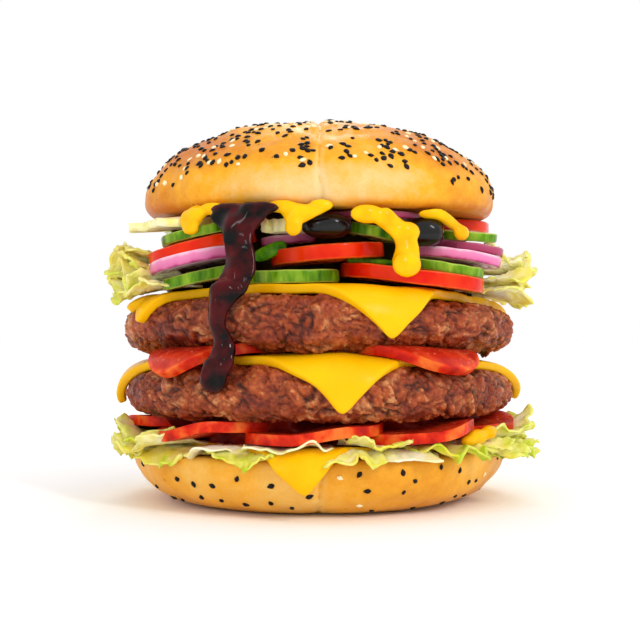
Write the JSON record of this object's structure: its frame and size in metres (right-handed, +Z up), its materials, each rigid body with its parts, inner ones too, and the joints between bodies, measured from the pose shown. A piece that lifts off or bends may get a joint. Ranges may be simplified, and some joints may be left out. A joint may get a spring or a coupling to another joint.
{
  "type": "double cheeseburger",
  "caption": "Tall stacked burger: seeded bun, grilled beef patties, cheese, salami, lettuce, tomato, cucumber, red onion, black olives, mustard and barbecue sauce.",
  "frame": {"origin": "centre of the flat underside of the bottom bun, where it rests", "axes": "+Z up; -Y towards the front, the side with the barbecue sauce drip; +X to the right seen from the front"},
  "size_m": [0.126, 0.126, 0.1118],
  "materials": {
    "crust": "satin baked crust",
    "beef": "grilled, uneven, moist",
    "cheese": "soft gloss",
    "lettuce": "moist leaf",
    "salami": "moist, slightly greasy",
    "tomato": "wet gloss",
    "cucumber": "wet gloss",
    "onion": "wet satin",
    "olive": "wet gloss",
    "mustard": "wet gloss",
    "barbecue": "wet gloss"
  },
  "bodies": {
    "root": {"bun_bottom": "crust", "patty_lower": "beef", "patty_upper": "beef", "bun_top": "crust", "cheese_base": "cheese", "cheese_lower": "cheese", "cheese_upper": "cheese", "lettuce_lower": "lettuce", "lettuce_left": "lettuce", "lettuce_right": "lettuce", "lettuce_back": "lettuce", "salami_lower_1": "salami", "salami_lower_2": "salami", "salami_lower_3": "salami", "salami_lower_4": "salami", "salami_lower_5": "salami", "salami_lower_6": "salami", "salami_lower_7": "salami", "salami_lower_8": "salami", "salami_lower_9": "salami", "salami_upper_1": "salami", "salami_upper_2": "salami", "salami_upper_3": "salami", "salami_upper_4": "salami", "cucumber_1": "cucumber", "cucumber_2": "cucumber", "cucumber_3": "cucumber", "cucumber_4": "cucumber", "cucumber_5": "cucumber", "cucumber_6": "cucumber", "cucumber_7": "cucumber", "cucumber_8": "cucumber", "cucumber_9": "cucumber", "cucumber_10": "cucumber", "cucumber_11": "cucumber", "tomato_1": "tomato", "tomato_2": "tomato", "tomato_3": "tomato", "tomato_4": "tomato", "tomato_5": "tomato", "tomato_6": "tomato", "tomato_7": "tomato", "tomato_8": "tomato", "onion_1": "onion", "onion_2": "onion", "onion_3": "onion", "onion_4": "onion", "onion_5": "onion", "onion_6": "onion", "onion_7": "onion", "onion_8": "onion", "onion_9": "onion", "olive_1": "olive", "olive_2": "olive", "olive_3": "olive", "mustard_1": "mustard", "mustard_2": "mustard", "mustard_3": "mustard", "mustard_4": "mustard", "sauce_barbecue": "barbecue"}
  },
  "joints": []
}
